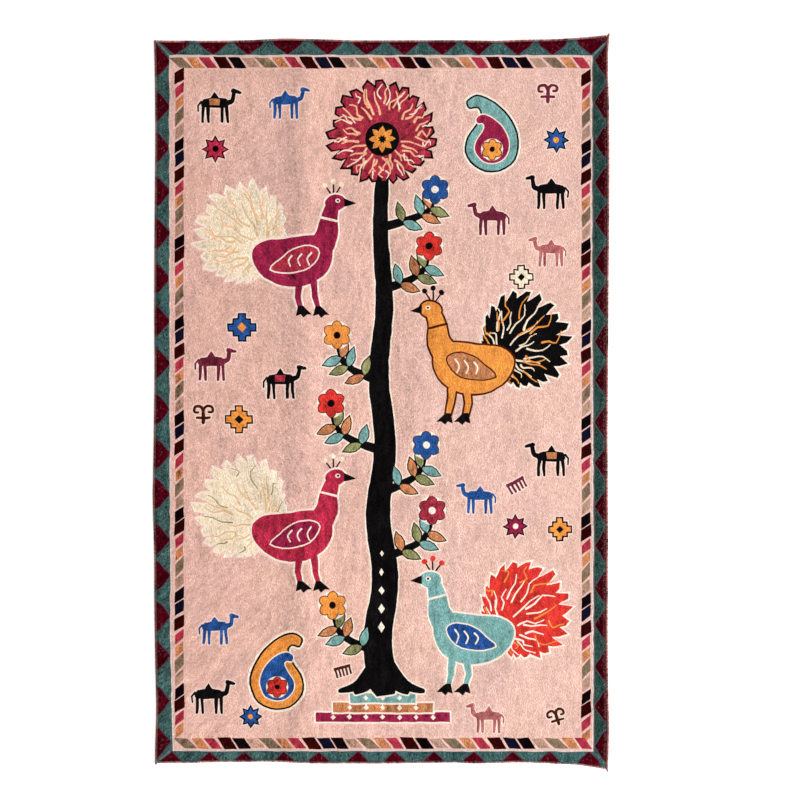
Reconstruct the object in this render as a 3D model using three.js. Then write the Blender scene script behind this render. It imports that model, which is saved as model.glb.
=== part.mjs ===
// A plush area rug of about 5 by 8 feet, lying flat on a floor with its pile up.
//
// The rug is one cloth: a woven back with a short cut pile. Its raw edge is overlocked with thread in four
// runs, one for each side, and two of the runs end in a short tail of thread chain at a corner.
//
// Units are millimetres and +Z is up. X runs across the rug and Y along it. The floor is at z = 0 and the
// origin lies on it, under the middle of the rug's box.

import * as THREE from 'three';

// Driving dimensions
const rugWidth = 1529;
const rugLength = 2435;
const rugThickness = 8;
const rimThickness = 5.8;
const shoulderWidth = 16;
const shoulderStart = -9.6;
const shoulderLine = 6.4;
const overlockWidth = 5.5;
const overlockHeight = 6.4;
const pieceGap = 0.3;

// Spacing of the points over the pile and along its rim
const pileStep = 36;

const halfWidth = rugWidth / 2;
const halfLength = rugLength / 2;
const rimInset = overlockWidth + pieceGap;

// How far each side bulges out of the true rectangle: [place along the side, bulge outwards]
const leftBulge = [
  [-1217, -1.5], [-1156, -2.4], [-1034, -5.7], [-873, -2.4], [-711, 0.3], [-509, 1.3], [-388, 4.4],
  [-307, 6.4], [-266, 5.1], [-105, 2.7], [77, 0.3], [320, 1.0], [602, 0], [885, -2.4], [1067, -1.3],
  [1217, 2.0],
];
const rightBulge = [
  [-1236, -2.0], [-1156, 0.3], [-1075, 2.4], [-994, 0], [-792, -2.4], [-549, -1.7], [-388, -1.3],
  [-125, -3.0], [97, -1.3], [340, 0], [582, 2.4], [805, 3.4], [986, 1.7], [1067, -0.7], [1148, -1.0],
  [1189, 1.3], [1229, 5.0],
];
const topBulge = [
  [-764, -1.3], [-612, -2.7], [-494, -1.7], [-427, 0], [-326, 5.1], [-259, 3.7], [-158, 1.0], [-57, -1.2],
  [112, -0.9], [280, -1.0], [381, -2.7], [449, 0.3], [583, 3.0], [651, 7.1], [718, 13.0], [766, 17.5],
];
const bottomBulge = [
  [-764, 0.7], [-612, -1.7], [-461, -4.4], [-393, -5.1], [-326, -2.4], [-259, 0.7], [44, 1.3], [246, -2.0],
  [314, 1.0], [482, -2.0], [549, 0.7], [651, 5.4], [684, 9.6], [718, 14.5], [764, 22.5],
];

// Soft creases left by folding: ends, height of the crest or depth of the trough, and half its width.
// A crease dies away over a quarter of its length at each end.
const creaseFade = 0.25;
const creases = [
  { from: [-254, 1800], to: [-264, -1800], height: 2.6, reach: 62 },
  { from: [12, 1800], to: [-8, -1800], height: -1.1, reach: 48 },
  { from: [-452, -140], to: [-300, -408], height: 1.5, reach: 44 },
  { from: [582, -575], to: [396, -985], height: 1.3, reach: 50 },
  { from: [-112, -742], to: [-216, -896], height: 1.0, reach: 40 },
];

// Long low swells that keep the pile from being dead level: [waves across, waves along, height, phase]
const swells = [
  [2.3, 1.1, 0.35, 0.4],
  [-1.4, 3.2, 0.3, 1.9],
  [4.1, 5.3, 0.22, 3.3],
];

// Thread tails past the end of a run: [distance past the corner, drift to the right, size of the thread]
const longTail = [
  [1.5, -0.1, 0.72],
  [4, 0.5, 0.5],
  [6.5, 1.5, 0.42],
  [8, 2.3, 0.2],
];
const shortTail = [
  [2, 0.4, 0.6],
  [4.5, 1, 0.25],
];

// Value of a table of [place, value] rows at a place, on a smooth curve through the rows
function smoothTable(rows, place) {
  const last = rows.length - 1;
  const at = Math.min(Math.max(place, rows[0][0]), rows[last][0]);
  let i = 0;
  while (i < last - 1 && at > rows[i + 1][0]) i += 1;
  const [x0, y0] = rows[i];
  const [x1, y1] = rows[i + 1];
  const before = rows[Math.max(i - 1, 0)];
  const after = rows[Math.min(i + 2, last)];
  const span = x1 - x0;
  const slope0 = (y1 - before[1]) / (x1 - before[0]);
  const slope1 = (after[1] - y0) / (after[0] - x0);
  const t = (at - x0) / span;
  const t2 = t * t;
  const t3 = t2 * t;
  return y0 * (2 * t3 - 3 * t2 + 1) + slope0 * span * (t3 - 2 * t2 + t)
    + y1 * (3 * t2 - 2 * t3) + slope1 * span * (t3 - t2);
}

// Where a point of the true rectangle lies on the real, uneven rug
function rugPoint(across, along) {
  const left = -halfWidth - smoothTable(leftBulge, along);
  const right = halfWidth + smoothTable(rightBulge, along);
  const bottom = -halfLength - smoothTable(bottomBulge, across);
  const top = halfLength + smoothTable(topBulge, across);
  return [
    THREE.MathUtils.lerp(left, right, across / rugWidth + 0.5),
    THREE.MathUtils.lerp(bottom, top, along / rugLength + 0.5),
  ];
}

// Height that the creases and swells add to the pile at a point
function creaseHeight(x, y) {
  let height = 0;
  for (const crease of creases) {
    const [ax, ay] = crease.from;
    const [bx, by] = crease.to;
    const length = Math.hypot(bx - ax, by - ay);
    const along = ((x - ax) * (bx - ax) + (y - ay) * (by - ay)) / length;
    const across = ((x - ax) * (by - ay) - (y - ay) * (bx - ax)) / length;
    const fade = THREE.MathUtils.smoothstep(along, 0, creaseFade * length)
      * THREE.MathUtils.smoothstep(length - along, 0, creaseFade * length);
    height += crease.height * fade * Math.exp(-((across / crease.reach) ** 2));
  }
  for (const [acrossWaves, alongWaves, swell, phase] of swells) {
    const angle = Math.PI * (acrossWaves * x / rugWidth + alongWaves * y / rugLength);
    height += swell * Math.sin(angle + phase);
  }
  return height;
}

// Height of the pile, which the overlock presses down round the rim. The shoulder starts out past the rim,
// under the thread, so the pile is a little above its lowest where it comes out.
function pileHeight(x, y, fromRim) {
  const full = rugThickness + creaseHeight(x, y);
  const rise = THREE.MathUtils.smoothstep(fromRim, shoulderStart, shoulderWidth);
  return rimThickness + (full - rimThickness) * rise;
}

// Places of the grid lines over one length of cloth, from its middle: close at the two rims, even between
function gridLines(length) {
  const rimLines = [0, shoulderLine, shoulderWidth];
  const innerLength = length - 2 * shoulderWidth;
  const innerCount = Math.round(innerLength / pileStep);
  const lines = rimLines.map((line) => line - length / 2);
  for (let i = 1; i < innerCount; i += 1) {
    lines.push((i / innerCount - 0.5) * innerLength);
  }
  for (const line of [...rimLines].reverse()) lines.push(length / 2 - line);
  return lines;
}

const clothWidth = rugWidth - 2 * rimInset;
const clothLength = rugLength - 2 * rimInset;
const acrossLines = gridLines(clothWidth);
const alongLines = gridLines(clothLength);

// A closed body as a mesh of its own, from corner points and triangles
function closedBody(name, points, triangles, material) {
  const geometry = new THREE.BufferGeometry();
  geometry.setAttribute('position', new THREE.Float32BufferAttribute(points.flat(), 3));
  geometry.setIndex(triangles.flat());
  geometry.computeVertexNormals();
  const mesh = new THREE.Mesh(geometry, material);
  mesh.name = name;
  return mesh;
}

// The cloth with its pile: a grid on top, the same outline flat on the floor, and an upright rim between
function makePile(material) {
  const columns = acrossLines.length;
  const rows = alongLines.length;
  const points = [];
  const triangles = [];
  for (const along of alongLines) {
    for (const across of acrossLines) {
      const [x, y] = rugPoint(across, along);
      const fromRim = Math.min(clothWidth / 2 - Math.abs(across), clothLength / 2 - Math.abs(along));
      points.push([x, y, pileHeight(x, y, fromRim)]);
    }
  }
  for (let j = 0; j < rows - 1; j += 1) {
    for (let i = 0; i < columns - 1; i += 1) {
      const a = j * columns + i;
      triangles.push([a, a + 1, a + columns + 1], [a, a + columns + 1, a + columns]);
    }
  }

  // The rim's grid points in order, counter-clockwise seen from above
  const rim = [];
  for (let i = 0; i < columns - 1; i += 1) rim.push(i);
  for (let j = 0; j < rows - 1; j += 1) rim.push(j * columns + columns - 1);
  for (let i = columns - 1; i > 0; i -= 1) rim.push((rows - 1) * columns + i);
  for (let j = rows - 1; j > 0; j -= 1) rim.push(j * columns);

  const firstFloorPoint = points.length;
  for (const k of rim) points.push([points[k][0], points[k][1], 0]);
  for (let k = 0; k < rim.length; k += 1) {
    const next = (k + 1) % rim.length;
    const a = firstFloorPoint + k;
    const b = firstFloorPoint + next;
    triangles.push([rim[k], a, b], [rim[k], b, rim[next]]);
  }
  const contour = rim.map((k) => new THREE.Vector2(points[k][0], points[k][1]));
  for (const [a, b, c] of THREE.ShapeUtils.triangulateShape(contour, [])) {
    triangles.push([firstFloorPoint + a, firstFloorPoint + c, firstFloorPoint + b]);
  }
  return closedBody('rug_pile', points, triangles, material);
}

// Section of the overlocked edge, flat on the floor and against the cloth, and round outside:
// [share of the width in from the outer side, share of the height]
const overlockSection = [
  [1, 0], [0.22, 0], [0, 0.3], [0, 0.62], [0.3, 0.95], [1, 1],
];

// A body lofted through rings of points that all run round the same way, closed at both ends. Seen from
// its last ring, the points run clockwise.
function loftedRun(name, rings, material) {
  const size = rings[0].length;
  const triangles = [];
  for (let r = 0; r < rings.length - 1; r += 1) {
    for (let k = 0; k < size; k += 1) {
      const next = (k + 1) % size;
      const a = r * size + k;
      const b = r * size + next;
      triangles.push([a, b, b + size], [a, b + size, a + size]);
    }
  }
  const last = (rings.length - 1) * size;
  for (let k = 1; k < size - 1; k += 1) {
    triangles.push([0, k + 1, k], [last, last + k, last + k + 1]);
  }
  return closedBody(name, rings.flat(), triangles, material);
}

// Rings of a tail: the thread grows thinner past the run's last ring and lies on the floor
function tailRings(tail, lastRing, direction) {
  const cornerX = lastRing.reduce((sum, point) => sum + point[0], 0) / lastRing.length;
  const cornerY = lastRing.reduce((sum, point) => sum + point[1], 0) / lastRing.length;
  return tail.map(([past, drift, size]) => lastRing.map(([x, , z]) => [
    cornerX + drift + (x - cornerX) * size,
    cornerY + direction * past,
    z * size,
  ]));
}

// The long sides: each run goes round the corners of the cloth, and a tail may go on past an end
function makeSideRun(name, side, topTail, bottomTail, material) {
  const stations = [-halfLength, ...alongLines, halfLength];
  const rings = stations.map((along) => overlockSection.map(([inShare, upShare]) => {
    const [x, y] = rugPoint(side * (halfWidth - inShare * overlockWidth), along);
    return [x, y, upShare * overlockHeight];
  }));
  if (bottomTail) rings.unshift(...tailRings(bottomTail, rings[0], -1).reverse());
  if (topTail) rings.push(...tailRings(topTail, rings[rings.length - 1], 1));
  return loftedRun(name, side > 0 ? rings.map((ring) => [...ring].reverse()) : rings, material);
}

// The short sides: each run lies between the two long runs, a hair clear of them
function makeEndRun(name, side, material) {
  const rings = acrossLines.map((across) => overlockSection.map(([inShare, upShare]) => {
    const [x, y] = rugPoint(across, side * (halfLength - inShare * overlockWidth));
    return [x, y, upShare * overlockHeight];
  }));
  return loftedRun(name, side > 0 ? rings : rings.map((ring) => [...ring].reverse()), material);
}

const pileMaterial = new THREE.MeshStandardMaterial({ color: 0xe0b4a6, roughness: 0.95, metalness: 0 });
const threadMaterial = new THREE.MeshStandardMaterial({ color: 0x4a2a30, roughness: 0.8, metalness: 0 });

const rug = new THREE.Group();
rug.add(
  makePile(pileMaterial),
  makeSideRun('overlock_right', 1, longTail, longTail, threadMaterial),
  makeSideRun('overlock_left', -1, null, shortTail, threadMaterial),
  makeEndRun('overlock_top', 1, threadMaterial),
  makeEndRun('overlock_bottom', -1, threadMaterial),
);

// The origin goes under the middle of the whole rug's box
const box = new THREE.Box3().setFromObject(rug, true);
const middle = box.getCenter(new THREE.Vector3());
rug.position.set(-middle.x, -middle.y, 0);
rug.updateMatrixWorld(true);

export default rug;
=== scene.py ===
import math

import bmesh
import bpy
import numpy as np
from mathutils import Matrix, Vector, geometry


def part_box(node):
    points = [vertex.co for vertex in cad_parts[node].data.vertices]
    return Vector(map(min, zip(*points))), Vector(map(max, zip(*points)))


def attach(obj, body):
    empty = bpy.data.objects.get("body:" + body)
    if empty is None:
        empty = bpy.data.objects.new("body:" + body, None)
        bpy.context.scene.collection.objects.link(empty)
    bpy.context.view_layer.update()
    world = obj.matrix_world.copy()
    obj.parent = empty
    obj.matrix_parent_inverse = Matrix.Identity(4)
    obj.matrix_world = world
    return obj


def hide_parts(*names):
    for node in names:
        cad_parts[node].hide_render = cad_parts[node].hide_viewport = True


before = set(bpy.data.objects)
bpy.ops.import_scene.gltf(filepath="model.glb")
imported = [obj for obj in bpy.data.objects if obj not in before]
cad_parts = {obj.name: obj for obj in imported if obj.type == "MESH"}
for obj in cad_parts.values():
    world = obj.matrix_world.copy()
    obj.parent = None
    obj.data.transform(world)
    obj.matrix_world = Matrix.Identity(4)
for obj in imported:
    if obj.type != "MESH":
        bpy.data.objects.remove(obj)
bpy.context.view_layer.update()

# Camera
# A product photographer hangs the camera straight over the rug, a little to the right of its middle, and
# uses a long lens so that the borders stay parallel.
MM = 0.001
PHOTO_PIXELS = 800
MM_PER_PIXEL = 3.368
CAMERA_HEIGHT = 6.4
RUG_MIDDLE_PIXEL = (381.6, 401.6)
SENSOR = 36.0

aim_x = (PHOTO_PIXELS / 2 - RUG_MIDDLE_PIXEL[0]) * MM_PER_PIXEL * MM
aim_y = (RUG_MIDDLE_PIXEL[1] - PHOTO_PIXELS / 2) * MM_PER_PIXEL * MM
camera = bpy.data.cameras.new("overhead_camera")
camera.sensor_width = SENSOR
camera.lens = SENSOR * CAMERA_HEIGHT / (PHOTO_PIXELS * MM_PER_PIXEL * MM)
camera_object = bpy.data.objects.new("overhead_camera", camera)
bpy.context.scene.collection.objects.link(camera_object)
bpy.context.scene.camera = camera_object

# Shape of the cloth
# The rug is one woven cloth with a short cut pile. It was cut by hand a little unevenly, and lies flat with
# soft creases where it was folded in its parcel. All sizes in this section and the next are millimetres,
# round the middle of the rug as it was cut.
RUG_WIDTH = 1529
RUG_LENGTH = 2435
RUG_THICKNESS = 8
RIM_THICKNESS = 5.8
SHOULDER = (-9.6, 16)
OVERLOCK_WIDTH = 5.5
OVERLOCK_HEIGHT = 6.4
RIM_INSET = OVERLOCK_WIDTH + 0.3

# How far each side bulges out: place along the side, bulge
LEFT_BULGE = [
    (-1217, -1.5), (-1156, -2.4), (-1034, -5.7), (-873, -2.4), (-711, 0.3), (-509, 1.3), (-388, 4.4),
    (-307, 6.4), (-266, 5.1), (-105, 2.7), (77, 0.3), (320, 1.0), (602, 0), (885, -2.4), (1067, -1.3),
    (1217, 2.0),
]
RIGHT_BULGE = [
    (-1236, -2.0), (-1156, 0.3), (-1075, 2.4), (-994, 0), (-792, -2.4), (-549, -1.7), (-388, -1.3),
    (-125, -3.0), (97, -1.3), (340, 0), (582, 2.4), (805, 3.4), (986, 1.7), (1067, -0.7), (1148, -1.0),
    (1189, 1.3), (1229, 5.0),
]
TOP_BULGE = [
    (-764, -1.3), (-612, -2.7), (-494, -1.7), (-427, 0), (-326, 5.1), (-259, 3.7), (-158, 1.0), (-57, -1.2),
    (112, -0.9), (280, -1.0), (381, -2.7), (449, 0.3), (583, 3.0), (651, 7.1), (718, 13.0), (766, 17.5),
]
BOTTOM_BULGE = [
    (-764, 0.7), (-612, -1.7), (-461, -4.4), (-393, -5.1), (-326, -2.4), (-259, 0.7), (44, 1.3),
    (246, -2.0), (314, 1.0), (482, -2.0), (549, 0.7), (651, 5.4), (684, 9.6), (718, 14.5), (764, 22.5),
]
# Creases: both ends, height of the crest or depth of the trough, half width
CREASE_FADE = 0.25
CREASES = [
    ((-254, 1800), (-264, -1800), 2.6, 62),
    ((12, 1800), (-8, -1800), -1.1, 48),
    ((-452, -140), (-300, -408), 1.5, 44),
    ((582, -575), (396, -985), 1.3, 50),
    ((-112, -742), (-216, -896), 1.0, 40),
]
# Swells: waves across, waves along, height, phase
SWELLS = [(2.3, 1.1, 0.35, 0.4), (-1.4, 3.2, 0.3, 1.9), (4.1, 5.3, 0.22, 3.3)]


def smooth_table(rows, place):
    """Value of a table at each place, on a smooth curve through its rows."""
    knots, values = np.array(rows, float).T
    at = np.clip(place, knots[0], knots[-1])
    i = np.clip(np.searchsorted(knots, at, "right") - 1, 0, len(knots) - 2)
    before = np.maximum(i - 1, 0)
    after = np.minimum(i + 2, len(knots) - 1)
    span = knots[i + 1] - knots[i]
    slope_0 = (values[i + 1] - values[before]) / (knots[i + 1] - knots[before])
    slope_1 = (values[after] - values[i]) / (knots[after] - knots[i])
    t = (at - knots[i]) / span
    return (values[i] * (2 * t ** 3 - 3 * t ** 2 + 1) + slope_0 * span * (t ** 3 - 2 * t ** 2 + t)
            + values[i + 1] * (3 * t ** 2 - 2 * t ** 3) + slope_1 * span * (t ** 3 - t ** 2))


def smooth_step(value, low, high):
    """0 below low, 1 above high, and smooth between."""
    t = np.clip((value - low) / (high - low), 0, 1)
    return t * t * (3 - 2 * t)


def rug_sides(x, y):
    """Where the rug's left, right, bottom and top sides lie beside points."""
    return (-RUG_WIDTH / 2 - smooth_table(LEFT_BULGE, y), RUG_WIDTH / 2 + smooth_table(RIGHT_BULGE, y),
            -RUG_LENGTH / 2 - smooth_table(BOTTOM_BULGE, x), RUG_LENGTH / 2 + smooth_table(TOP_BULGE, x))


def rug_point(across, along):
    """Where points of the true rectangle lie on the uneven rug."""
    left, right, bottom, top = rug_sides(across, along)
    return (left + (right - left) * (across / RUG_WIDTH + 0.5),
            bottom + (top - bottom) * (along / RUG_LENGTH + 0.5))


def distance_from_rim(x, y):
    """How far points lie inside the cloth's own edge."""
    left, right, bottom, top = rug_sides(x, y)
    return np.minimum(np.minimum(x - left, right - x), np.minimum(y - bottom, top - y)) - RIM_INSET


def creased(x, y, creases):
    """How far creases raise the pile."""
    height = np.zeros(np.shape(x))
    for start, end, crest, reach in creases:
        way = np.subtract(end, start)
        length = np.hypot(*way)
        along = ((x - start[0]) * way[0] + (y - start[1]) * way[1]) / length
        across = ((x - start[0]) * way[1] - (y - start[1]) * way[0]) / length
        fade = (smooth_step(along, 0, CREASE_FADE * length)
                * smooth_step(length - along, 0, CREASE_FADE * length))
        height += crest * fade * np.exp(-(across / reach) ** 2)
    return height


def pile_height(x, y):
    """Height of the tips of the pile, with its creases and swells and the rim that the overlock presses."""
    height = RUG_THICKNESS + creased(x, y, CREASES)
    for across_waves, along_waves, swell, phase in SWELLS:
        angle = math.pi * (across_waves * x / RUG_WIDTH + along_waves * y / RUG_LENGTH)
        height += swell * np.sin(angle + phase)
    rise = smooth_step(distance_from_rim(x, y), *SHOULDER)
    return RIM_THICKNESS + (height - RIM_THICKNESS) * rise


def steps_over(length, step):
    """Places evenly spread over a length, from its middle, about a step apart."""
    return np.linspace(-length / 2, length / 2, round(length / step) + 1)


# The cloth's edge, counter-clockwise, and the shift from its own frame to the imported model's
EDGE_STEP = 8
cloth_across = steps_over(RUG_WIDTH - 2 * RIM_INSET, EDGE_STEP)
cloth_along = steps_over(RUG_LENGTH - 2 * RIM_INSET, EDGE_STEP)
cloth_edge = np.vstack([
    np.column_stack(rug_point(cloth_across[:-1], cloth_along[0])),
    np.column_stack(rug_point(cloth_across[-1], cloth_along[:-1])),
    np.column_stack(rug_point(cloth_across[:0:-1], cloth_along[-1])),
    np.column_stack(rug_point(cloth_across[0], cloth_along[:0:-1])),
])
pile_low, pile_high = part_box("rug_pile")
shift = np.array((pile_low + pile_high)[:2]) / 2 - (cloth_edge.min(0) + cloth_edge.max(0)) / 2 * MM
camera_object.location = (aim_x + shift[0], aim_y + shift[1], CAMERA_HEIGHT)

# The print is drawn as flat outlines in millimetres, one over the other. A dyer's edge is never quite
# straight, so every outline is cut into short steps and each step is moved a little.
STEP = 11.0
UNSTEADY = 1.7
UNSTEADY_LUMP = 24
NOISE_START = (101.7, 87.3)
ROUND_END = (0.8, 0.6)
SHARPEST = 1.1
printed = []


def soft_noise(x, y, size, seed):
    """Smooth noise from -1 to 1, with lumps about size across."""
    table = np.random.default_rng(seed).uniform(-1, 1, (256, 256))
    u = np.asarray(x) / size + NOISE_START[0]
    v = np.asarray(y) / size + NOISE_START[1]
    i = np.floor(u).astype(int)
    j = np.floor(v).astype(int)
    s = smooth_step(u - i, 0, 1)
    t = smooth_step(v - j, 0, 1)
    low = table[i % 256, j % 256] * (1 - s) + table[(i + 1) % 256, j % 256] * s
    high = table[i % 256, (j + 1) % 256] * (1 - s) + table[(i + 1) % 256, (j + 1) % 256] * s
    return low * (1 - t) + high * t


def paint(colour, outline):
    """Print an outline in a colour over what is there."""
    start = np.array(outline, float)
    side = np.roll(start, -1, 0) - start
    steps = np.maximum(np.hypot(*side.T) // STEP, 1).astype(int)
    points = np.vstack([
        corner + way * np.arange(count)[:, None] / count
        for corner, way, count in zip(start, side, steps)
    ])
    strays = [soft_noise(*points.T, UNSTEADY_LUMP, seed) for seed in (5, 6)]
    printed.append((colour, points + UNSTEADY * np.column_stack(strays)))


def curved(points, closed=False, steps=4):
    """A smooth line through points."""
    knots = np.array(points, float)
    if closed:
        knots = np.vstack([knots[-1], knots, knots[:2]])
    else:
        knots = np.vstack([knots[0], knots, knots[-1]])
    t = (np.arange(steps) / steps)[:, None]
    pieces = [
        0.5 * (2 * b + (c - a) * t + (2 * a - 5 * b + 4 * c - d) * t ** 2 + (3 * b - a - 3 * c + d) * t ** 3)
        for a, b, c, d in zip(knots, knots[1:], knots[2:], knots[3:])
    ]
    return np.vstack(pieces if closed else pieces + [knots[-1:]])


def stroke(line, start, end=None):
    """The outline of a brush stroke with round ends along a line, as wide as start, and end at its end."""
    line = np.array(line, float)
    end = start if end is None else end
    along = np.gradient(line, axis=0)
    along /= np.hypot(*along.T)[:, None]
    aside = np.column_stack([-along[:, 1], along[:, 0]])
    half = np.linspace(start, end, len(line))[:, None] / 2
    past, beside = ROUND_END
    nose = line[-1:] + (along[-1] * past + aside[-1] * np.array([[beside], [-beside]])) * end / 2
    heel = line[:1] + (-along[0] * past + aside[0] * np.array([[-beside], [beside]])) * start / 2
    return np.vstack([line + aside * half, nose, (line - aside * half)[::-1], heel])


def turned(points, turn):
    """Points turned round the origin, by an angle in radians."""
    return np.array(points, float) @ np.array([[math.cos(turn), math.sin(turn)],
                                               [-math.sin(turn), math.cos(turn)]])


def heading(angle):
    """Steps of length 1 towards angles in radians."""
    return np.stack([np.cos(angle), np.sin(angle)], axis=-1)


def oval(x, y, across, up=None, turn=0.0, count=16):
    """An oval by its middle and its two half sizes."""
    angle = np.linspace(0, 2 * math.pi, count, endpoint=False)
    return turned(heading(angle) * (across, up or across), turn) + (x, y)


def rectangle(left, low, right, high):
    """An upright rectangle."""
    return [(left, low), (right, low), (right, high), (left, high)]


def grown(outline, by):
    """An outline with its sides moved outwards."""
    points = np.array(outline, float)
    if np.sum(points[:, 0] * np.roll(points[:, 1], -1) - points[:, 1] * np.roll(points[:, 0], -1)) < 0:
        points = points[::-1]
    ahead = np.roll(points, -1, 0) - points
    ahead /= np.maximum(np.hypot(*ahead.T), 1e-6)[:, None]
    middle = ahead + np.roll(ahead, 1, 0)
    out = np.column_stack([middle[:, 1], -middle[:, 0]])
    return points + 2 * by * out / np.maximum(np.sum(out ** 2, axis=1), SHARPEST)[:, None]


def place(x, y, scale=1.0, mirrored=False, turn=0.0):
    """A function that moves a motif's points to its place on the rug."""
    size = np.array([-scale if mirrored else scale, scale])
    return lambda points: turned(np.array(points, float) * size, turn) + (x, y)


def outlined(colour, edge, width, *parts):
    """Parts of one figure in a colour, with a single edge round them all."""
    for part in parts:
        paint(edge, grown(part, width))
    for part in parts:
        paint(colour, part)


# Borders, from the edge inwards: a teal band with a row of maroon triangles, a thin cream line, and a row
# of slanting bars on pale rose. Each row's places along its side were measured on the rug.
EDGE = {"left": -764.5, "right": 764.5, "bottom": -1217.5, "top": 1217.5}
LINE = {"left": -715.0, "right": 712.0, "bottom": -1177.0, "top": 1166.5}
BAND_OVERLAP = 30
TRIANGLE_EDGE = 3.2
TRIANGLES = [
    # side, distance of the point, the bend and the rim from the cream line, half widths at the bend and the
    # rim, whether the last triangle reaches the corner as the first does, and the places of the points
    ("top", (0.5, 35, 51), (44.5, 50.5), True,
     [-695, -567, -447, -317, -182, -49, 75, 203, 326, 459, 575, 708]),
    ("bottom", (1.5, 26.5, 40.5), (29, 36), False,
     [-707, -579, -463, -328, -211, -80, 44, 175, 309, 442, 564, 698]),
    ("left", (-4, 31, 49.5), (42.5, 50.5), True,
     [1145, 993, 856, 707, 566, 414, 272, 129, -26, -176, -310, -464, -586, -723, -855, -1007, -1145]),
    ("right", (5.5, 35, 52.5), (46.5, 56.5), False,
     [1149, 1007, 873, 736, 608, 471, 341, 204, 74, -70, -208, -354, -485, -625, -751, -892, -1026, -1159]),
]
beyond = EDGE["right"] + BAND_OVERLAP
paint("deep_teal", [(beyond, EDGE["bottom"]), (beyond, EDGE["top"]),
                    (LINE["right"], LINE["top"]), (LINE["right"], LINE["bottom"])])
for side, (point, bend, rim), (bend_half, rim_half), to_last_corner, places in TRIANGLES:
    outward = 1 if side in ("top", "right") else -1
    half_side = EDGE["right" if side in ("top", "bottom") else "top"]
    for at in places:
        reach = [(0, point), (bend_half, bend), (rim_half, rim), (rim_half + 2, rim + BAND_OVERLAP)]
        sides = [reach, reach]
        if at == places[0] or (at == places[-1] and to_last_corner):
            sides[int(at > 0)] = [(0, point), (half_side + BAND_OVERLAP - abs(at), rim + BAND_OVERLAP)]
        triangle = np.array([(at - half, depth) for half, depth in sides[0]]
                            + [(at + half, depth) for half, depth in sides[1][:0:-1]])
        triangle[:, 1] = LINE[side] + outward * triangle[:, 1]
        if side in ("left", "right"):
            triangle = triangle[:, ::-1]
        outlined("deep_maroon" if side == "right" else "maroon", "slate", TRIANGLE_EDGE, triangle)
for x_side, y_side in (("left", "bottom"), ("left", "top"), ("right", "top")):
    mitre = [(EDGE[x_side], EDGE[y_side]), (LINE[x_side], LINE[y_side])]
    for colour, narrow, wide in (("slate", 3, 14), ("grey_teal", 1.5, 8)):
        paint(colour, stroke(mitre, narrow, wide))

# The cream line, whose inner side is scalloped, round a pale strip for the bars and the rose field
SCALLOP = 14.0
SCALLOP_DEPTH = 1.6
CREAM_LINE = 6.0
CREAM_CORNERS = np.array([
    (-704, -1176), (713, -1178), (713, -250), (709.5, 300), (709, 1166.5), (-715, 1166.5), (-715, 350),
    (-713, -250), (-711, -800),
])
FIELD = (-661.0, -1133.0, 673.0, 1121.0)
paint("taupe", stroke(CREAM_CORNERS[1:5] + (1, 0), 6))
paint("cream_line", CREAM_CORNERS)
inner_corners = grown(CREAM_CORNERS, -CREAM_LINE)
scallops = []
for corner, following in zip(inner_corners, np.roll(inner_corners, -1, 0)):
    side = following - corner
    inward = np.array([-side[1], side[0]]) / np.hypot(*side)
    halves = 2 * round(np.hypot(*side) / SCALLOP)
    for half in range(halves):
        scallops.append(corner + side * half / halves + inward * (half % 2) * SCALLOP_DEPTH)
paint("strip_rose", scallops)
paint("ground", rectangle(*FIELD))

BARS = {
    # on the ends: step to the next, width, lean, height; on the sides: the same
    "maroon_brown": (49, 43, 24, 40, 46, 41, 20, 33.5),
    "raspberry": (50, 35, 28, 36.5, 42, 33, 24, 28),
    "ochre": (43, 33, 26, 35.5, 45, 32.5, 22, 26),
    "sage": (48, 45, 36, 34, 49, 43, 30, 27.5),
    "tan": (52, 38, 26, 31, 45, 37, 22, 27),
    "soot": (47, 40.5, 24, 37, 42, 38, 20, 30.5),
    "navy": (45, 41, 23, 37, 52, 39.5, 21, 29.5),
}
END_ORDER = ["sage", "ochre", "raspberry", "maroon_brown", "navy", "soot", "tan"]
SIDE_ORDER = ["maroon_brown", "raspberry", "ochre", "sage", "tan", "soot", "navy"]
BAR_ROWS = [
    # order, whether each repeat has its navy bar, how many, along X, first, last, middle line, and how far
    # the row strays from even steps along its length
    (SIDE_ORDER, (1, 0, 1, 1, 0, 1, 0, 0), 49, False, 1094.6, -1107.4, -680.5,
     (1, -6, -2, -5, 0, -3, 1, 2, 1)),
    (SIDE_ORDER, (1, 0, 1, 1, 0, 1, 0, 0), 49, False, 1093.2, -1121.5, 688.3,
     (-3, -10, -13, -13, -4, -10, -9, -6, -4)),
    (END_ORDER, (0, 1, 0, 1, 0), 29, True, -675.3, 677.6, 1141,
     (-1, -5, -5, -9, -9, -4)),
    (END_ORDER, (0, 1, 0, 1, 0), 29, True, -655.4, 680.0, -1150.0,
     (-4, -9, -9, -14, -11, -1)),
]
for order, with_navy, count, along_x, first, last, middle, strays in BAR_ROWS:
    names = [name for navy in with_navy for name in order if navy or name != "navy"][:count]
    sizes = [BARS[name][:4] if along_x else BARS[name][4:] for name in names]
    spread = (last - first) / sum(size[0] for size in sizes[:-1])
    even = first
    for name, (step, width, lean, tall) in zip(names, sizes):
        share = (even - first) / (last - first)
        at = even + np.interp(share * len(strays) - 0.5, range(len(strays)), strays)
        slant = -lean if along_x else lean
        low, high = middle - tall / 2, middle + tall / 2
        bar = np.array([(at - (width + slant) / 2, low), (at + (width - slant) / 2, low),
                        (at + (width + slant) / 2, high), (at - (width - slant) / 2, high)])
        if not along_x:
            bar = bar[:, ::-1]
        paint(name, bar)
        even += step * spread


# Field: a tree of life that stands on a stepped mound, with large birds on both sides, and camels, stars
# and small traditional figures between them. Each motif is drawn round its own middle and then placed.
SHORTEST_FEATHER = 75


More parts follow.
